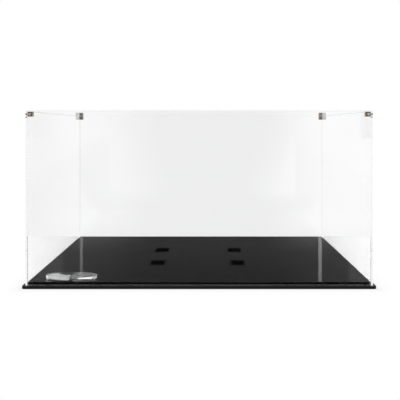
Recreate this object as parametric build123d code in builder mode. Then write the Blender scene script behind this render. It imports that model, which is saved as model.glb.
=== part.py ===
from build123d import *
import os

# Display case for a football collectible: a clear acrylic cover over a two-tier black acrylic base.
# Millimetres, +Z up, front towards -Y, so left is -X. The origin is the centre of the base's underside.
# The cover is five flat panels tied by a metal cube in each top corner. It stands on the lower plate
# around the deck, which locates its bottom edge, and it lifts straight off.

# ---- Cover ----
COVER_WIDTH = 570.0
COVER_DEPTH = 420.0
TOTAL_HEIGHT = 293.0
PANEL = 3.0  # thickness of every clear panel
SEAM = 0.1  # air between two polished faces that meet
ARRIS = 0.1  # broken edge on the clear sheets

# ---- Base ----
TIER = 5.0  # thickness of each black plate
LIP = 5.0  # how far the lower plate stands out past the cover
LOWER_CORNER_RADIUS = 4.0
DECK_GAP = 1.0  # running room between the deck and the cover's inner faces
DECK_CORNER_RADIUS = 1.5
TIER_ARRIS = 0.5

# ---- Stand sockets through the deck ----
SOCKET_WIDTH = 27.0
SOCKET_DEPTH = 41.0
SOCKET_CORNER_RADIUS = 0.6
SOCKET_PITCH_X = 149.0
SOCKET_PITCH_Y = 117.0
SOCKET_GROUP_CENTRE = (-4.5, -8.0)

# ---- Magnets that hold the deck to the lower plate ----
MAGNET_RADIUS = 4.0
MAGNET_THICKNESS = 2.9
MAGNET_POCKET_RADIUS = 4.1
MAGNET_POCKET_DEPTH = 3.0
MAGNET_INSET = 20.0  # from the deck's edge to a magnet's centre

# ---- Corner cubes and their M2 countersunk screws ----
CUBE = 8.0
CUBE_CHAMFER = 0.5
SCREW_RADIUS = 1.0
SCREW_LENGTH = 5.95  # from the panel's outer face to the tip
SCREW_TIP_CHAMFER = 0.3
HEAD_RADIUS = 1.9
HEAD_RIM = 0.15
HEAD_SUNK = 0.15  # how far the head lies below the panel's face
HEX_RADIUS = 0.75
HEX_DEPTH = 0.7
TAPPED_RADIUS = 1.05
TAPPED_DEPTH = 2.95  # the two holes of a cube stop short of each other
CLEARANCE_RADIUS = 1.1
COUNTERSINK_RADIUS = 2.25

# ---- Oval plaque on the deck ----
PLAQUE_CENTRE = (-216.0, -178.5)
PLAQUE_SEMI_AXES = (43.0, 20.0)
PLAQUE_THICKNESS = 5.0
PLAQUE_CHAMFER = 0.8
FIELD_SEMI_AXES = (39.0, 16.0)  # the decorated field inside the plain border
FIELD_GAP = 2.5  # plain strip between the inlay and the engraved net
INLAY_THICKNESS = 0.6
INLAY_POCKET_DEPTH = 0.7
INLAY_CLEARANCE = 0.1
WINDOW_CENTRE = (-4.0, 13.7)  # the plain oval that bites into the inlay
WINDOW_SEMI_AXES = (20.0, 13.0)
NET_PITCH = 3.4
NET_LINE_WIDTH = 0.7
NET_DEPTH = 0.4
NET_LINES = 25
NET_LINE_LENGTH = 90.0

# ---- Worked out from the above ----
HALF_WIDTH = COVER_WIDTH / 2
HALF_DEPTH = COVER_DEPTH / 2
PANEL_TOP = TOTAL_HEIGHT - PANEL
WALL_FOOT = TIER + SEAM
WALL_HEIGHT = PANEL_TOP - SEAM - WALL_FOOT
BETWEEN_SIDES = COVER_WIDTH - 2 * PANEL - 2 * SEAM
DECK_WIDTH = COVER_WIDTH - 2 * PANEL - 2 * DECK_GAP
DECK_DEPTH = COVER_DEPTH - 2 * PANEL - 2 * DECK_GAP
DECK_TOP = 2 * TIER
CUBE_X = HALF_WIDTH - PANEL - SEAM - CUBE / 2
CUBE_Y = HALF_DEPTH - PANEL - SEAM - CUBE / 2
CUBE_Z = PANEL_TOP - SEAM - CUBE / 2
MAGNET_X = DECK_WIDTH / 2 - MAGNET_INSET
MAGNET_Y = DECK_DEPTH / 2 - MAGNET_INSET
MAGNET_SPOTS = [
    (x, y)
    for x in (-MAGNET_X, 0, MAGNET_X)
    for y in (-MAGNET_Y, 0, MAGNET_Y)
    if (x, y) != (0, 0)
]
FRONT = Vector(0, -1, 0)
BACK = Vector(0, 1, 0)
LEFT = Vector(-1, 0, 0)
RIGHT = Vector(1, 0, 0)

os.makedirs("parts", exist_ok=True)


def write(part, name):
    """Labels a finished piece and writes it as one STEP file."""
    part.label = name
    export_step(part, f"parts/{name}.step")


def screw_seats(outward):
    """The two points, as planes facing outward, where screws enter the panel on that side."""
    across = CUBE_X if outward.X == 0 else CUBE_Y
    along = Vector(1, 0, 0) if outward.X == 0 else Vector(0, 1, 0)
    face = outward * (HALF_DEPTH if outward.X == 0 else HALF_WIDTH)
    return [
        Plane(origin=face + along * side * across + Vector(0, 0, CUBE_Z), z_dir=outward)
        for side in (-1, 1)
    ]


# ================================ Base ================================

# The lower plate carries everything, and its lip shows all round the cover.
with BuildPart() as lower_plate:
    with BuildSketch(Plane.XY):
        RectangleRounded(COVER_WIDTH + 2 * LIP, COVER_DEPTH + 2 * LIP, LOWER_CORNER_RADIUS)
    extrude(amount=TIER)
    chamfer(lower_plate.edges().filter_by(Plane.XY), TIER_ARRIS)
    with BuildSketch(Plane.XY.offset(TIER)):
        with Locations(*MAGNET_SPOTS):
            Circle(MAGNET_POCKET_RADIUS)
    extrude(amount=-MAGNET_POCKET_DEPTH, mode=Mode.SUBTRACT)
write(lower_plate.part, "lower_plate")

# The deck is the display floor. Its four sockets take the feet of a stand.
with BuildPart() as deck_plate:
    with BuildSketch(Plane.XY.offset(TIER)):
        RectangleRounded(DECK_WIDTH, DECK_DEPTH, DECK_CORNER_RADIUS)
    extrude(amount=TIER)
    chamfer(deck_plate.edges().filter_by(Plane.XY), TIER_ARRIS)
    with BuildSketch(Plane.XY.offset(TIER)):
        with Locations(SOCKET_GROUP_CENTRE):
            with GridLocations(SOCKET_PITCH_X, SOCKET_PITCH_Y, 2, 2):
                RectangleRounded(SOCKET_WIDTH, SOCKET_DEPTH, SOCKET_CORNER_RADIUS)
    extrude(amount=TIER, mode=Mode.SUBTRACT)
    with BuildSketch(Plane.XY.offset(TIER)):
        with Locations(*MAGNET_SPOTS):
            Circle(MAGNET_POCKET_RADIUS)
    extrude(amount=MAGNET_POCKET_DEPTH, mode=Mode.SUBTRACT)
write(deck_plate.part, "deck_plate")

# One disc faces another across the joint between the two plates, each a little below its face.
with BuildPart() as base_magnets:
    with BuildSketch(Plane.XY.offset(TIER - MAGNET_POCKET_DEPTH)):
        with Locations(*MAGNET_SPOTS):
            Circle(MAGNET_RADIUS)
    extrude(amount=MAGNET_THICKNESS)
write(base_magnets.part, "base_magnets")

with BuildPart() as deck_magnets:
    with BuildSketch(Plane.XY.offset(TIER + MAGNET_POCKET_DEPTH)):
        with Locations(*MAGNET_SPOTS):
            Circle(MAGNET_RADIUS)
    extrude(amount=-MAGNET_THICKNESS)
write(deck_magnets.part, "deck_magnets")


# ================================ Cover ================================


def upright_panel(outward, length):
    """A wall of the cover, standing on the lower plate, with two countersunk holes at the top."""
    across, deep = (length, PANEL) if outward.X == 0 else (PANEL, length)
    inset = (HALF_DEPTH if outward.X == 0 else HALF_WIDTH) - PANEL / 2
    centre = outward * inset
    with BuildPart() as panel:
        with BuildSketch(Plane.XY.offset(WALL_FOOT)):
            with Locations((centre.X, centre.Y)):
                Rectangle(across, deep)
        extrude(amount=WALL_HEIGHT)
        chamfer(panel.edges(), ARRIS)
        with Locations(*screw_seats(outward)):
            CounterSinkHole(CLEARANCE_RADIUS, COUNTERSINK_RADIUS)
    return panel.part


# The side panels run the full depth, and the front and back panels stand between them.
write(upright_panel(FRONT, BETWEEN_SIDES), "front_panel")
write(upright_panel(BACK, BETWEEN_SIDES), "back_panel")
write(upright_panel(LEFT, COVER_DEPTH), "left_panel")
write(upright_panel(RIGHT, COVER_DEPTH), "right_panel")

# The top panel lies over the edges of all four walls.
with BuildPart() as top_panel:
    with BuildSketch(Plane.XY.offset(PANEL_TOP)):
        Rectangle(COVER_WIDTH, COVER_DEPTH)
    extrude(amount=PANEL)
    chamfer(top_panel.edges(), ARRIS)
write(top_panel.part, "top_panel")


def corner_cube(x_out, y_out):
    """A metal cube in one top corner, with a tapped blind hole in each face that meets a wall."""
    centre = Vector(x_out.X * CUBE_X, y_out.Y * CUBE_Y, CUBE_Z)
    with BuildPart() as cube:
        with BuildSketch(Plane.XY.offset(CUBE_Z - CUBE / 2)):
            with Locations((centre.X, centre.Y)):
                Rectangle(CUBE, CUBE)
        extrude(amount=CUBE)
        chamfer(cube.edges(), CUBE_CHAMFER)
        for outward in (x_out, y_out):
            with BuildSketch(Plane(origin=centre + outward * CUBE / 2, z_dir=outward)):
                Circle(TAPPED_RADIUS)
            extrude(amount=-TAPPED_DEPTH, mode=Mode.SUBTRACT)
    return cube.part


write(corner_cube(LEFT, FRONT), "front_left_cube")
write(corner_cube(RIGHT, FRONT), "front_right_cube")
write(corner_cube(LEFT, BACK), "back_left_cube")
write(corner_cube(RIGHT, BACK), "back_right_cube")


def panel_screws(outward):
    """The two countersunk screws of one wall. The thread is left plain at its outer diameter."""
    cone_end = HEAD_SUNK + HEAD_RIM + HEAD_RADIUS - SCREW_RADIUS
    with BuildPart() as screws:
        for seat in screw_seats(outward):
            # u runs along the screw's axis, outward, and v is the radius.
            with BuildSketch(Plane(origin=seat.origin, x_dir=seat.z_dir, z_dir=seat.x_dir)):
                with BuildLine():
                    Polyline(
                        (-HEAD_SUNK, 0),
                        (-HEAD_SUNK, HEAD_RADIUS),
                        (-HEAD_SUNK - HEAD_RIM, HEAD_RADIUS),
                        (-cone_end, SCREW_RADIUS),
                        (SCREW_TIP_CHAMFER - SCREW_LENGTH, SCREW_RADIUS),
                        (-SCREW_LENGTH, SCREW_RADIUS - SCREW_TIP_CHAMFER),
                        (-SCREW_LENGTH, 0),
                        close=True,
                    )
                make_face()
            revolve(axis=Axis(seat.origin, seat.z_dir))
            with BuildSketch(seat.offset(-HEAD_SUNK)):
                RegularPolygon(HEX_RADIUS, 6)
            extrude(amount=-HEX_DEPTH, mode=Mode.SUBTRACT)
    return screws.part


write(panel_screws(FRONT), "front_screws")
write(panel_screws(BACK), "back_screws")
write(panel_screws(LEFT), "left_screws")
write(panel_screws(RIGHT), "right_screws")

# ================================ Plaque ================================

PLAQUE_BASE = Plane(origin=(*PLAQUE_CENTRE, DECK_TOP + SEAM))
PLAQUE_FACE = PLAQUE_BASE.offset(PLAQUE_THICKNESS)


def inlay_outline(clearance):
    """The crescent that fills the field's left half, larger all round by clearance."""
    a, b = (axis + clearance for axis in FIELD_SEMI_AXES)
    with BuildSketch(PLAQUE_BASE) as outline:
        Ellipse(a, b)
        with Locations((a - FIELD_GAP / 2 + clearance, 0)):
            Rectangle(2 * a, 2 * b, mode=Mode.SUBTRACT)
        with Locations(WINDOW_CENTRE):
            Ellipse(*(axis - clearance for axis in WINDOW_SEMI_AXES), mode=Mode.SUBTRACT)
    return outline.sketch


inlay_face = inlay_outline(0)
pocket_face = inlay_outline(INLAY_CLEARANCE)

# A thick clear oval with a bevelled rim. The inlay lies in its underside on the left, and a net is
# engraved in its top on the right.
with BuildPart() as plaque:
    with BuildSketch(PLAQUE_BASE):
        Ellipse(*PLAQUE_SEMI_AXES)
    extrude(amount=PLAQUE_THICKNESS)
    chamfer(plaque.edges().group_by(Axis.Z)[-1], PLAQUE_CHAMFER)
    extrude(pocket_face, amount=INLAY_POCKET_DEPTH, mode=Mode.SUBTRACT)
    with BuildSketch(PLAQUE_FACE):
        for lean in (-45, 45):
            with Locations(Location((0, 0, 0), (0, 0, lean))):
                with GridLocations(0, NET_PITCH, 1, NET_LINES):
                    Rectangle(NET_LINE_LENGTH, NET_LINE_WIDTH)
        Ellipse(*FIELD_SEMI_AXES, mode=Mode.INTERSECT)
        with Locations((FIELD_GAP / 2 - FIELD_SEMI_AXES[0], 0)):
            Rectangle(2 * FIELD_SEMI_AXES[0], 2 * FIELD_SEMI_AXES[1], mode=Mode.SUBTRACT)
    extrude(amount=-NET_DEPTH, mode=Mode.SUBTRACT)
write(plaque.part, "plaque")

with BuildPart() as plaque_inlay:
    extrude(inlay_face, amount=INLAY_POCKET_DEPTH)
    split(bisect_by=PLAQUE_BASE.offset(INLAY_POCKET_DEPTH - INLAY_THICKNESS), keep=Keep.TOP)
write(plaque_inlay.part, "plaque_inlay")
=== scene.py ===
import math

import bpy
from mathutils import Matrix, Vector


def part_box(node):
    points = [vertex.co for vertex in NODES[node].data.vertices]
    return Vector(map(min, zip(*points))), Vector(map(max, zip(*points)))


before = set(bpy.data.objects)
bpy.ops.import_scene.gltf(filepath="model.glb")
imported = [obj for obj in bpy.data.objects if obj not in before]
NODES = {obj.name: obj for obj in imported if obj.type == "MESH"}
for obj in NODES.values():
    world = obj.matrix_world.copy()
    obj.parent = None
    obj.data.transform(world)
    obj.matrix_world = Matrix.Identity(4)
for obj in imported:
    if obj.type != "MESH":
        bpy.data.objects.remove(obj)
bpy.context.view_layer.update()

# Looks for the football display case: materials on the CAD nodes, a pale floor, soft light and the camera.
# Metres, +Z up, the front faces -Y. Nothing here moves a CAD node or edits its mesh. One modifier, glue_line,
# draws the plaque's inlay in by 0.03 mm.

ACRYLIC_IOR = 1.49
NOISE_MIDDLE = (0.3, 0.7)  # where most of a noise texture's values lie


# ---------------------------------------------------------------- node helpers


class Tree:
    """A node tree with short calls for the maths that masks and patterns need."""

    def __init__(self, tree):
        self.tree = tree
        self.tree.nodes.clear()

    def node(self, kind, **settings):
        made = self.tree.nodes.new(kind)
        for key, value in settings.items():
            setattr(made, key, value)
        return made

    def put(self, socket, value):
        """Links a socket to a value that is a socket itself, and sets any other value on it."""
        if isinstance(value, bpy.types.NodeSocket):
            self.tree.links.new(value, socket)
        else:
            socket.default_value = value

    def math(self, operation, *values):
        made = self.node("ShaderNodeMath", operation=operation)
        for socket, value in zip(made.inputs, values):
            self.put(socket, value)
        return made.outputs[0]

    def product(self, first, *others):
        """All the values multiplied together."""
        for other in others:
            first = self.math("MULTIPLY", first, other)
        return first

    def squares(self, a, b):
        """The sum of two squares."""
        return self.math("ADD", self.product(a, a), self.product(b, b))

    def ramp(self, value, low, high, start=0.0, end=1.0):
        """value from low to high becomes start to end, eased, and held flat outside."""
        made = self.node("ShaderNodeMapRange", interpolation_type="SMOOTHSTEP")
        names = ("Value", "From Min", "From Max", "To Min", "To Max")
        for name, number in zip(names, (value, low, high, start, end)):
            self.put(made.inputs[name], number)
        return made.outputs["Result"]

    def spread(self, noise, start=0.0, end=1.0):
        """The middle of a noise's values becomes start to end."""
        return self.ramp(noise, *NOISE_MIDDLE, start, end)

    def mix(self, factor, a, b):
        """a where factor is 0 and b where it is 1, for numbers."""
        made = self.node("ShaderNodeMix", data_type="FLOAT")
        self.put(made.inputs[0], factor)
        self.put(made.inputs[2], a)
        self.put(made.inputs[3], b)
        return made.outputs[0]

    def colour_mix(self, factor, a, b):
        """a where factor is 0 and b where it is 1, for colours."""
        made = self.node("ShaderNodeMix", data_type="RGBA")
        self.put(made.inputs[0], factor)
        self.put(made.inputs[6], a)
        self.put(made.inputs[7], b)
        return made.outputs[2]

    def split(self, vector):
        made = self.node("ShaderNodeSeparateXYZ")
        self.put(made.inputs[0], vector)
        return made.outputs

    def scaled(self, vector, scale):
        made = self.node("ShaderNodeMapping")
        self.put(made.inputs["Vector"], vector)
        made.inputs["Scale"].default_value = scale
        return made.outputs[0]

    def noise(self, vector, scale, detail=2.0, roughness=0.5):
        made = self.node("ShaderNodeTexNoise")
        self.put(made.inputs["Vector"], vector)
        made.inputs["Scale"].default_value = scale
        made.inputs["Detail"].default_value = detail
        made.inputs["Roughness"].default_value = roughness
        return made.outputs["Fac"]

    def bump(self, height, distance, strength=1.0):
        made = self.node("ShaderNodeBump")
        made.inputs["Strength"].default_value = strength
        made.inputs["Distance"].default_value = distance
        self.put(made.inputs["Height"], height)
        return made.outputs[0]


def material(name):
    """A fresh material: itself, its tree, its Principled shader, and its object coordinates and normal."""
    made = bpy.data.materials.new(name)
    made.use_nodes = True
    tree = Tree(made.node_tree)
    shader = tree.node("ShaderNodeBsdfPrincipled")
    out = tree.node("ShaderNodeOutputMaterial")
    tree.put(out.inputs["Surface"], shader.outputs[0])
    place = tree.node("ShaderNodeTexCoord")
    return made, tree, shader, place


def dress(node, made):
    """Gives a CAD node its material."""
    slots = NODES[node].data.materials
    slots.clear()
    slots.append(made)


# ---------------------------------------------------------------- clear sheets

THICKNESS_AXIS = {"front_panel": 1, "back_panel": 1, "left_panel": 0, "right_panel": 0, "top_panel": 2}
FACE_TINT = (0.992, 0.994, 0.993, 1.0)
EDGE_TINT = (0.97, 0.98, 0.975, 1.0)
EDGE_FACING = (0.2, 0.6)  # a normal's share along the thickness: under this it is an edge, over it a face
EDGE_MARKS = 2600.0  # noise scale of the marks that flame finishing leaves
EDGE_ROUGHNESS = (0.01, 0.05)


def clear_sheet(name, thin):
    """Polished cast acrylic with flame-finished edges that are a little less clear than the faces."""
    made, tree, shader, place = material(name)
    facing = tree.math("ABSOLUTE", tree.split(place.outputs["Normal"])[thin])
    edge = tree.ramp(facing, *EDGE_FACING, 1.0, 0.0)
    marks = tree.noise(place.outputs["Object"], EDGE_MARKS, 3.0, 0.6)
    tree.put(shader.inputs["Roughness"], tree.product(edge, tree.spread(marks, *EDGE_ROUGHNESS)))
    tree.put(shader.inputs["Base Color"], tree.colour_mix(edge, FACE_TINT, EDGE_TINT))
    shader.inputs["Transmission Weight"].default_value = 1.0
    shader.inputs["IOR"].default_value = ACRYLIC_IOR
    return made


for node, thin in THICKNESS_AXIS.items():
    dress(node, clear_sheet("clear_" + node, thin))


# ---------------------------------------------------------------- black plates


BLACK = (0.0030, 0.0030, 0.0034, 1.0)
DUST = (0.05, 0.05, 0.052, 1.0)
FACE_POLISH = (0.012, 0.03)  # roughness, from the clearest patch to the haziest
CUT_POLISH = (0.08, 0.16)  # roughness of the cut edges
CUT_FACING = (0.2, 0.9)  # a normal's upright share: under this it is a cut edge, over it a face
SAW_GRAIN = (1.0, 1.0, 0.15)  # draws the saw's marks out along Z
HAZE_SCALE, SAW_SCALE, SPECK_SCALE, DRIFT_SCALE, WAVE_SCALE = 35.0, 1500.0, 260.0, 18.0, 9.0
SPECK_RADIUS = (0.03, 0.07)  # in cells of the speck pattern
DRIFT = (0.5, 0.7)  # the dust lies only where the drift noise is over this
WAVE_HEIGHT = 0.00012


def black_sheet(name):
    """Gloss black acrylic: deep, faintly wavy, with fine dust and polished cut edges."""
    made, tree, shader, place = material(name)
    spot = place.outputs["Object"]
    haze = tree.noise(spot, HAZE_SCALE, 4.0, 0.6)
    saw = tree.noise(tree.scaled(spot, SAW_GRAIN), SAW_SCALE, 2.0)
    upright = tree.math("ABSOLUTE", tree.split(place.outputs["Normal"])[2])
    cut = tree.ramp(upright, *CUT_FACING, 1.0, 0.0)
    roughness = tree.mix(cut, tree.spread(haze, *FACE_POLISH), tree.spread(saw, *CUT_POLISH))
    tree.put(shader.inputs["Roughness"], roughness)
    specks = tree.node("ShaderNodeTexVoronoi")
    tree.put(specks.inputs["Vector"], spot)
    specks.inputs["Scale"].default_value = SPECK_SCALE
    dust = tree.ramp(specks.outputs["Distance"], *SPECK_RADIUS, 1.0, 0.0)
    drift = tree.ramp(tree.noise(spot, DRIFT_SCALE, 2.0), *DRIFT)
    tree.put(shader.inputs["Base Color"], tree.colour_mix(tree.product(dust, drift), BLACK, DUST))
    tree.put(shader.inputs["Normal"], tree.bump(tree.noise(spot, WAVE_SCALE, 1.0), WAVE_HEIGHT))
    shader.inputs["IOR"].default_value = ACRYLIC_IOR
    return made


black = black_sheet("gloss_black_acrylic")
dress("lower_plate", black)
dress("deck_plate", black)


# ---------------------------------------------------------------- metal


PATCH_SCALE = 500.0
PATCH_TONE = (0.6, 1.0)
MARK_DEPTH = 0.00002
MARK_STRENGTH = 0.6


def brushed_metal(name, light, dark, roughness, grain):
    """Metal with fine marks; grain scales the noise along X, Y and Z."""
    made, tree, shader, place = material(name)
    lines = tree.noise(tree.scaled(place.outputs["Object"], grain), 1.0, 4.0, 0.6)
    patches = tree.noise(place.outputs["Object"], PATCH_SCALE, 2.0)
    tone = tree.product(tree.spread(lines), tree.spread(patches, *PATCH_TONE))
    tree.put(shader.inputs["Base Color"], tree.colour_mix(tone, dark, light))
    tree.put(shader.inputs["Roughness"], tree.spread(lines, *roughness))
    tree.put(shader.inputs["Normal"], tree.bump(lines, MARK_DEPTH, MARK_STRENGTH))
    shader.inputs["Metallic"].default_value = 1.0
    return made


cube_metal = brushed_metal(
    "dark_brass",
    light=(0.40, 0.335, 0.26, 1.0),
    dark=(0.25, 0.20, 0.15, 1.0),
    roughness=(0.26, 0.42),
    grain=(300.0, 300.0, 6000.0),
)
for corner in ("front_left", "front_right", "back_left", "back_right"):
    dress(corner + "_cube", cube_metal)

HEAD_RADIUS = 0.0019
STEEL = (0.80, 0.79, 0.77, 1.0)
WORN_STEEL = (0.62, 0.60, 0.57, 1.0)
STEEL_ROUGHNESS = (0.14, 0.28)
RING_SCALE, WEAR_SCALE = 9000.0, 1200.0
RING_DEPTH = 0.00001


def turned_steel(side):
    """Bright steel with the fine rings that turning leaves round each screw's axis."""
    made, tree, shader, place = material("turned_steel_" + side)
    low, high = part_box(side + "_screws")
    spot = tree.split(place.outputs["Object"])
    # A side's two screws stand equally far from the middle, so one distance serves both.
    across = 0 if side in ("front", "back") else 1
    from_axis = tree.math("SUBTRACT", tree.math("ABSOLUTE", spot[across]), high[across] - HEAD_RADIUS)
    above_axis = tree.math("SUBTRACT", spot[2], (low.z + high.z) / 2)
    radius = tree.node("ShaderNodeCombineXYZ")
    tree.put(radius.inputs["X"], tree.math("SQRT", tree.squares(from_axis, above_axis)))
    rings = tree.noise(radius.outputs[0], RING_SCALE, 3.0, 0.7)
    wear = tree.noise(place.outputs["Object"], WEAR_SCALE, 3.0)
    tree.put(shader.inputs["Base Color"], tree.colour_mix(wear, STEEL, WORN_STEEL))
    tree.put(shader.inputs["Roughness"], tree.spread(rings, *STEEL_ROUGHNESS))
    tree.put(shader.inputs["Normal"], tree.bump(rings, RING_DEPTH, MARK_STRENGTH))
    shader.inputs["Metallic"].default_value = 1.0
    return made


for side in ("front", "back", "left", "right"):
    dress(side + "_screws", turned_steel(side))

nickel = brushed_metal(
    "nickel_plate",
    light=(0.75, 0.74, 0.71, 1.0),
    dark=(0.66, 0.65, 0.62, 1.0),
    roughness=(0.10, 0.20),
    grain=(1500.0, 1500.0, 1500.0),
)
dress("base_magnets", nickel)
dress("deck_magnets", nickel)


# ---------------------------------------------------------------- plaque

PLAQUE_LOW, PLAQUE_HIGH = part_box("plaque")
HUNDREDTH = 0.00001  # a hundredth of a millimetre
NET_DEPTH = 0.0004
RIM_WIDTH = 0.003
RIM_FADE = (0.97, 1.0)  # of the way out to the rim, squared
CLEAR_TINT = (0.99, 0.993, 0.992, 1.0)
FROST_TINT = (0.9, 0.91, 0.91, 1.0)
FROST_ROUGHNESS = (0.45, 0.75)
FROST_CLEARNESS = 0.5  # transmission at full frost
FROST_PATCHES = (0.42, 0.58, 0.45, 1.0)  # between these noise values the frost goes from weak to full
WALL_FROST = 0.35  # the grooves' walls are less frosted than their floors
PATCH_SIZE, GRAIN_SIZE = 260.0, 3500.0
GRAIN_DEPTH = 0.00004


def plaque_clear():
    """Clear acrylic whose engraved grooves are frosted."""
    made, tree, shader, place = material("plaque_acrylic")
    x, y, z = tree.split(place.outputs["Object"])
    face = PLAQUE_HIGH.z
    groove = face - NET_DEPTH
    under_face = tree.ramp(z, face - 8 * HUNDREDTH, face - 2 * HUNDREDTH, 1.0, 0.0)
    over_floor = tree.ramp(z, groove - 10 * HUNDREDTH, groove - 5 * HUNDREDTH)
    wall = tree.ramp(z, groove + 3 * HUNDREDTH, groove + 6 * HUNDREDTH)
    centre = (PLAQUE_LOW + PLAQUE_HIGH) / 2
    half = (PLAQUE_HIGH - PLAQUE_LOW) / 2
    along = tree.math("DIVIDE", tree.math("SUBTRACT", x, centre.x), half.x - RIM_WIDTH)
    across = tree.math("DIVIDE", tree.math("SUBTRACT", y, centre.y), half.y - RIM_WIDTH)
    inside = tree.ramp(tree.squares(along, across), *RIM_FADE, 1.0, 0.0)
    patches = tree.ramp(tree.noise(place.outputs["Object"], PATCH_SIZE, 1.0), *FROST_PATCHES)
    depth = tree.ramp(wall, 0.0, 1.0, 1.0, WALL_FROST)
    frost = tree.product(under_face, over_floor, inside, tree.product(patches, depth))
    # The white of the inlay is bonded to the roof of its pocket.
    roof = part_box("plaque_inlay")[1].z
    over_roof = tree.ramp(z, roof + 4 * HUNDREDTH, roof + 6 * HUNDREDTH, 1.0, 0.0)
    bond = tree.product(tree.ramp(z, roof - 6 * HUNDREDTH, roof - 4 * HUNDREDTH), over_roof, inside)
    grain = tree.noise(place.outputs["Object"], GRAIN_SIZE, 2.0)
    clearness = tree.mix(bond, tree.ramp(frost, 0.0, 1.0, 1.0, FROST_CLEARNESS), 0.0)
    tree.put(shader.inputs["Roughness"], tree.product(frost, tree.spread(grain, *FROST_ROUGHNESS)))
    tree.put(shader.inputs["Transmission Weight"], clearness)
    tree.put(shader.inputs["Specular IOR Level"], tree.mix(bond, 0.5, 0.0))
    tree.put(shader.inputs["Base Color"], tree.colour_mix(frost, CLEAR_TINT, FROST_TINT))
    tree.put(shader.inputs["Normal"], tree.bump(tree.product(grain, frost), GRAIN_DEPTH, 0.5))
    shader.inputs["IOR"].default_value = ACRYLIC_IOR
    return made


WHITE_DEEP = (0.80, 0.80, 0.79, 1.0)
WHITE_PALE = (0.90, 0.90, 0.89, 1.0)
WHITE_GRAIN = 2500.0
WHITE_ROUGHNESS = (0.22, 0.34)
GLOW_TINT = (1.0, 1.0, 0.95)
GLOW_DEPTH = 0.0012


def plaque_white():
    """White acrylic, thin enough to glow through."""
    made, tree, shader, place = material("plaque_white_acrylic")
    grain = tree.noise(place.outputs["Object"], WHITE_GRAIN, 3.0)
    tree.put(shader.inputs["Base Color"], tree.colour_mix(grain, WHITE_DEEP, WHITE_PALE))
    tree.put(shader.inputs["Roughness"], tree.spread(grain, *WHITE_ROUGHNESS))
    shader.inputs["Subsurface Weight"].default_value = 1.0
    shader.inputs["Subsurface Radius"].default_value = GLOW_TINT
    shader.inputs["Subsurface Scale"].default_value = GLOW_DEPTH
    shader.inputs["IOR"].default_value = ACRYLIC_IOR
    return made


dress("plaque", plaque_clear())
dress("plaque_inlay", plaque_white())

# A hair of glue keeps the inlay's face off the roof of its pocket.
glue_line = NODES["plaque_inlay"].modifiers.new("glue_line", "DISPLACE")
glue_line.mid_level = 0.0
glue_line.strength = -3 * HUNDREDTH


# ---------------------------------------------------------------- floor

FLOOR_DROP = 0.0001
FLOOR_REACH = 14.0
CONTACT_REACH = 0.008  # how far from the case its contact shadow has faded to about a third
CONTACT_DEPTH = 0.16

# A brighter pool beside the case, seen through the clear sheets, makes up for the light that they take away.
POOL_LEFT, POOL_RIGHT = 0.62, 0.80
POOL_TURN = (-0.1, 0.1)  # between these x it goes from its left level to its right one
POOL_START = (0.0, 0.001)  # metres outside the lower plate
POOL_END = (0.13, 0.2)
POOL_BACK = (0.035, 0.055)  # metres behind the lower plate

# What gloss mirrors of the floor. Its tones fan out from a fixed point behind the case, placed for the main
# view, and the lean of a place on the floor is its x over its distance in front of that point.
FAN_CENTRE = 0.775
FAN_EDGE = (0.300, 0.312)  # beyond this lean the floor is white again
ROOM_START = (-0.9, -0.45)  # between these y the floor gives way to the darker room in front
NEAR_STEP = (-0.020, -0.017)  # metres before the lower plate
NEAR_LEVELS = (0.02, 0.2)
UNDER_CASE = 0.1  # metres from the lower plate's front edge to where the floor is white again

# The darker room in front, by lean: dark, with a lighter patch on the left and a wide one on the right.
ROOM_LEVEL = 0.02
LEFT_PATCH_START, LEFT_PATCH_END, LEFT_PATCH_LEVEL = (-0.28, -0.20), (-0.18, -0.07), 0.55
RIGHT_PATCH_START, RIGHT_PATCH_LEVEL = (0.09, 0.20), 0.85

PIPED_BOUNCES = 7
PIPED_LIGHT = 0.97

mesh = bpy.data.meshes.new("floor")
corners = [(-1, -1), (1, -1), (1, 1), (-1, 1)]
mesh.from_pydata([(x * FLOOR_REACH, y * FLOOR_REACH, -FLOOR_DROP) for x, y in corners], [], [(0, 1, 2, 3)])
floor = bpy.data.objects.new("floor", mesh)
bpy.context.scene.collection.objects.link(floor)


def front_glow(tree, lean):
    """What the room in front sends back into the front panel, by how far a direction leans to the right."""
    left = tree.product(tree.ramp(lean, *LEFT_PATCH_START), tree.ramp(lean, *LEFT_PATCH_END, 1.0, 0.0))
    right = tree.ramp(lean, *RIGHT_PATCH_START)
    patches = tree.math("ADD", tree.product(left, LEFT_PATCH_LEVEL), tree.product(right, RIGHT_PATCH_LEVEL))
    return tree.math("ADD", patches, ROOM_LEVEL)


def bounced(tree, path, kind, times):
    """1 where light has bounced at least this many times in this way, or else 0."""
    return tree.math("GREATER_THAN", path.outputs[kind], times - 0.5)


def piped(tree, path):
    """1 where light has crossed a panel from face to face many times, as it does on its way to an edge."""
    return bounced(tree, path, "Glossy Depth", PIPED_BOUNCES)


def outside(tree, value, low, high):
    """How far value lies outside the span from low to high."""
    away = tree.math("ABSOLUTE", tree.math("SUBTRACT", value, (low + high) / 2))
    return tree.math("MAXIMUM", tree.math("SUBTRACT", away, (high - low) / 2), 0.0)


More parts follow.
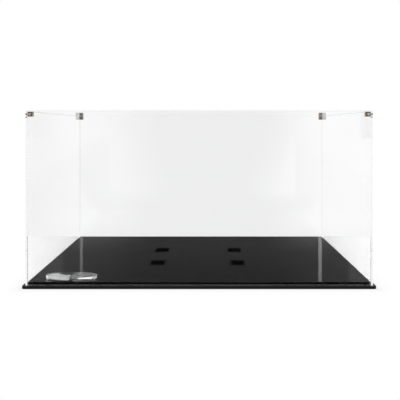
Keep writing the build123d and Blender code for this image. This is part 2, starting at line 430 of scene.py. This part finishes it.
def paint_floor():
    """White to the eye, with the room's darker front showing only where gloss mirrors the floor."""
    made = bpy.data.materials.new("pale_floor")
    made.use_nodes = True
    tree = Tree(made.node_tree)
    out = tree.node("ShaderNodeOutputMaterial")
    x, y, _ = tree.split(tree.node("ShaderNodeTexCoord").outputs["Object"])
    path = tree.node("ShaderNodeLightPath")
    low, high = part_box("lower_plate")
    gap_x = outside(tree, x, low.x, high.x)
    gap_y = outside(tree, y, low.y, high.y)
    # To the eye: white, with the contact shadow and the pool.
    gap = tree.math("SQRT", tree.squares(gap_x, gap_y))
    shade = tree.product(tree.math("EXPONENT", tree.math("DIVIDE", gap, -CONTACT_REACH)), CONTACT_DEPTH)
    pool = tree.product(
        tree.ramp(gap_x, *POOL_END, 1.0, 0.0),
        tree.ramp(gap_x, *POOL_START),
        tree.ramp(y, high.y + POOL_BACK[0], high.y + POOL_BACK[1], 1.0, 0.0),
        tree.math("SUBTRACT", 1.0, path.outputs["Is Camera Ray"]),
        tree.ramp(x, *POOL_TURN, POOL_LEFT, POOL_RIGHT),
    )
    direct = tree.math("SUBTRACT", tree.math("ADD", 1.0, pool), shade)
    # In gloss: the room in front, inside the fan.
    lean = tree.math("DIVIDE", x, tree.math("SUBTRACT", FAN_CENTRE, y))
    near = tree.ramp(y, low.y + NEAR_STEP[0], low.y + NEAR_STEP[1], *NEAR_LEVELS)
    near = tree.mix(tree.ramp(y, low.y, low.y + UNDER_CASE), near, 1.0)
    glow = tree.mix(tree.ramp(y, *ROOM_START, 1.0, 0.0), near, front_glow(tree, lean))
    glow = tree.mix(tree.ramp(tree.math("ABSOLUTE", lean), *FAN_EDGE), glow, 1.0)
    glow = tree.mix(piped(tree, path), glow, PIPED_LIGHT)
    lamp = tree.node("ShaderNodeEmission")
    lamp.inputs["Color"].default_value = (1.0, 1.0, 1.0, 1.0)
    tree.put(lamp.inputs["Strength"], tree.mix(bounced(tree, path, "Glossy Depth", 1), direct, glow))
    tree.put(out.inputs["Surface"], lamp.outputs[0])
    return made


floor.data.materials.append(paint_floor())


# ---------------------------------------------------------------- light

# Spans are of a direction's own parts: x to the right, y to the back and z up, each from -1 to 1. "aside" is
# x without its sign. They shape only what gloss mirrors: the eye sees plain white, and matt surfaces see the
# dome.
DOME = 2.3
SWEEP_END = (0.14, 0.175)  # z
AHEAD_TONE = (0.17, 0.26, 0.088, 0.068)  # z, and the levels at its two ends
AHEAD_SIDES = (0.08, 0.24, 1.0, 1.7)  # aside, and how much lighter it gets
RIGHT_STEP = (0.222, 0.230, 0.0, 0.15)  # x, and what it adds
SIDE_PANEL_START = (0.29, 0.36)  # aside
SIDE_PANEL_TOP = (0.55, 0.75)  # z
SIDE_PANEL_LEVEL = 0.95
OVERHEAD_START = (0.78, 0.92)  # z
OVERHEAD_LEVEL = 0.8
SLITS = ((-0.2090, -0.2035, 0.34), (0.1875, 0.1945, 0.55))  # x over y at each side, and the level
SLIT_EDGE = 0.0015
ROOM_SPAN = (-0.75, -0.55)  # y
ROOM_SIDES = (0.30, 0.33)  # aside
ROOM_RIGHT_END = (0.245, 0.256, 1.0, 0.1)  # x, and the share of the room's light that is left

world = bpy.data.worlds.new("studio")
world.use_nodes = True
bpy.context.scene.world = world


def paint_world(tree):
    """White to the eye, a bright dome to matt surfaces, and to gloss a white sweep in a darker room."""
    out = tree.node("ShaderNodeOutputWorld")
    x, y, z = tree.split(tree.node("ShaderNodeTexCoord").outputs["Generated"])
    path = tree.node("ShaderNodeLightPath")
    aside = tree.math("ABSOLUTE", x)
    # Above the sweep: dark ahead, with a soft panel of light on each side and one overhead.
    side_panel = tree.product(tree.ramp(aside, *SIDE_PANEL_START), tree.ramp(z, *SIDE_PANEL_TOP, 1.0, 0.0))
    lights = [
        tree.ramp(x, *RIGHT_STEP),
        tree.product(side_panel, SIDE_PANEL_LEVEL),
        tree.product(tree.ramp(z, *OVERHEAD_START), OVERHEAD_LEVEL),
    ]
    # Two slits of light far behind the case stand out as upright lines in the deck, which mirrors them.
    lean = tree.math("DIVIDE", x, tree.math("MAXIMUM", y, 0.01))
    once = tree.math("SUBTRACT", 1.0, bounced(tree, path, "Glossy Depth", 2))
    for left, right, level in SLITS:
        rise = tree.ramp(lean, left, left + SLIT_EDGE)
        fall = tree.ramp(lean, right - SLIT_EDGE, right, 1.0, 0.0)
        lights.append(tree.product(rise, fall, once, level))
    high = tree.product(tree.ramp(z, *AHEAD_TONE), tree.ramp(aside, *AHEAD_SIDES))
    for light in lights:
        high = tree.math("ADD", high, light)
    # Below it: white behind and beside, the darker room in front.
    front = tree.product(tree.ramp(y, *ROOM_SPAN, 1.0, 0.0), tree.ramp(aside, *ROOM_SIDES, 1.0, 0.0))
    low = tree.mix(front, 1.0, tree.product(front_glow(tree, x), tree.ramp(x, *ROOM_RIGHT_END)))
    level = tree.mix(tree.ramp(z, *SWEEP_END), low, high)
    level = tree.mix(piped(tree, path), level, PIPED_LIGHT)
    seen = tree.mix(bounced(tree, path, "Glossy Depth", 1), 1.0, level)
    seen = tree.mix(bounced(tree, path, "Diffuse Depth", 1), seen, DOME)
    back = tree.node("ShaderNodeBackground")
    back.inputs["Color"].default_value = (1.0, 1.0, 1.0, 1.0)
    tree.put(back.inputs["Strength"], seen)
    tree.put(out.inputs["Surface"], back.outputs[0])


paint_world(Tree(world.node_tree))


# ---------------------------------------------------------------- camera

SENSOR = 36.0
FOCAL = 54.05
CAMERA_HEIGHT = 0.264
CAMERA_ASIDE = 0.0103
CAMERA_DISTANCE = 0.985  # in front of the front panel
SHIFT_X, SHIFT_Y = -0.0135, -0.1814  # the camera is level, so a shift brings the case to mid-frame
CLIP_START, CLIP_END = 0.01, 100.0

data = bpy.data.cameras.new("camera")
data.sensor_width = SENSOR
data.lens = FOCAL
data.shift_x = SHIFT_X
data.shift_y = SHIFT_Y
data.clip_start = CLIP_START
data.clip_end = CLIP_END
data.dof.use_dof = False
camera = bpy.data.objects.new("camera", data)
camera.location = Vector((CAMERA_ASIDE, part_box("front_panel")[0].y - CAMERA_DISTANCE, CAMERA_HEIGHT))
camera.rotation_euler = (math.radians(90.0), 0.0, 0.0)
bpy.context.scene.collection.objects.link(camera)
bpy.context.scene.camera = camera

# Light that enters a panel by its edge crosses from face to face dozens of times before it leaves.
BOUNCES = 128
DIFFUSE_BOUNCES = 4

scene = bpy.context.scene
scene.view_settings.view_transform = "Standard"
scene.view_settings.look = "None"
scene.cycles.max_bounces = BOUNCES
scene.cycles.glossy_bounces = BOUNCES
scene.cycles.transmission_bounces = BOUNCES
scene.cycles.diffuse_bounces = DIFFUSE_BOUNCES
